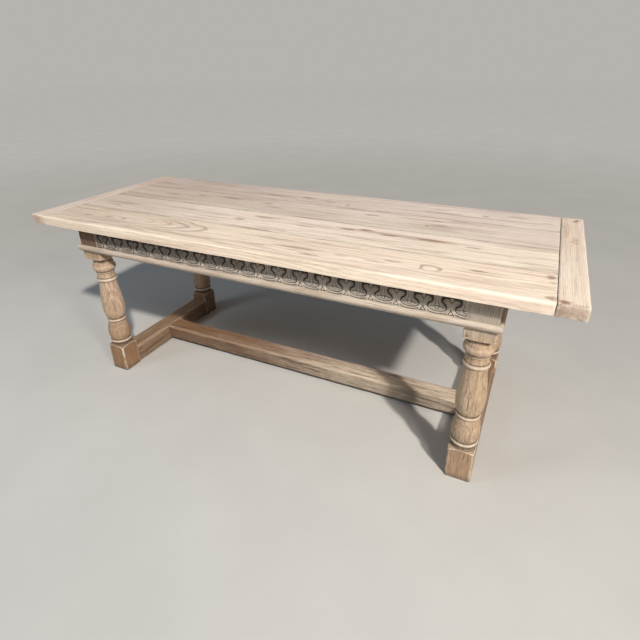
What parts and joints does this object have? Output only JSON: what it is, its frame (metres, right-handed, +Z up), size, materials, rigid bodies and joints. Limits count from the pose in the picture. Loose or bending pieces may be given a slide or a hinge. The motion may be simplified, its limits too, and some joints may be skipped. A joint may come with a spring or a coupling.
{
  "type": "dining table",
  "caption": "Long refectory dining table with a cleated plank top, carved frieze rails, an applied moulding, turned baluster legs and a low H-shaped stretcher.",
  "frame": {"origin": "on the floor, under the middle of the top", "axes": "+X along the table to the right as seen from its pictured front, -Y out of that front, +Z up"},
  "size_m": [2.15, 0.83, 0.77],
  "materials": {
    "top_oak": "scrubbed and limed, matt",
    "leg_oak": "limed and worn, matt",
    "frieze_oak": "limed and carved, matt",
    "moulding_oak": "limed and worn, matt",
    "stretcher_oak": "foot-worn, matt",
    "peg_oak": "cleft pegs, matt",
    "hidden_oak": "sawn, unfinished",
    "iron": "dull dark iron"
  },
  "bodies": {
    "root": {"top_board_front": "top_oak", "top_board_front_middle": "top_oak", "top_board_back_middle": "top_oak", "top_board_back": "top_oak", "cleat_left": "top_oak", "cleat_right": "top_oak", "board_tongues": "hidden_oak", "cleat_pegs": "peg_oak", "leg_front_left": "leg_oak", "leg_front_right": "leg_oak", "leg_back_left": "leg_oak", "leg_back_right": "leg_oak", "frieze_rail_front": "frieze_oak", "frieze_rail_back": "frieze_oak", "end_rail_left": "frieze_oak", "end_rail_right": "frieze_oak", "moulding_front": "moulding_oak", "moulding_back": "moulding_oak", "moulding_left": "moulding_oak", "moulding_right": "moulding_oak", "moulding_pins": "iron", "end_stretcher_left": "stretcher_oak", "end_stretcher_right": "stretcher_oak", "long_stretcher": "stretcher_oak", "rail_pegs": "peg_oak", "end_stretcher_pegs": "peg_oak", "long_stretcher_pegs": "peg_oak", "top_buttons": "hidden_oak", "button_screws": "iron"}
  },
  "joints": []
}
